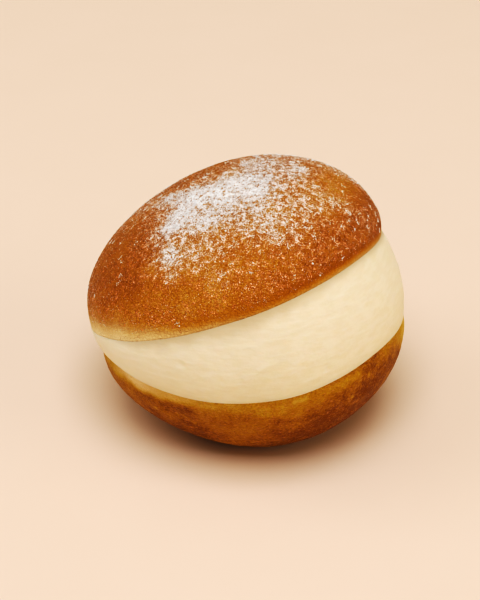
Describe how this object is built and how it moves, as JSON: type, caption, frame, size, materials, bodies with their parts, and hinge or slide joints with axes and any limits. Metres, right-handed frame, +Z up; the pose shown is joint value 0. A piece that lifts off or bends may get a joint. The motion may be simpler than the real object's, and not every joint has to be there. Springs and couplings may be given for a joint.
{
  "type": "cream-filled doughnut",
  "caption": "Round cream-filled doughnut: a golden bun sliced across and opened like a clam, a wedge of pale cream between its halves, powdered sugar on top.",
  "frame": {"origin": "centre of the bounding box in X and Y, at the base, on the surface the doughnut stands on", "axes": "+Z up; +X towards the side where the bun stands widest open and the cream is thickest; -X is the side where the two halves come closest; +Y completes the right-handed frame"},
  "size_m": [0.0918, 0.0894, 0.0765],
  "materials": {
    "bun_top": "baked golden-brown yeast crust, satin, dusted with powdered sugar",
    "cream": "smooth pale cream, scraped flush, soft sheen",
    "bun_bottom": "baked brown yeast crust, satin, finely wrinkled"
  },
  "bodies": {
    "root": {"bun_top": "bun_top", "cream": "cream", "bun_bottom": "bun_bottom"}
  },
  "joints": []
}
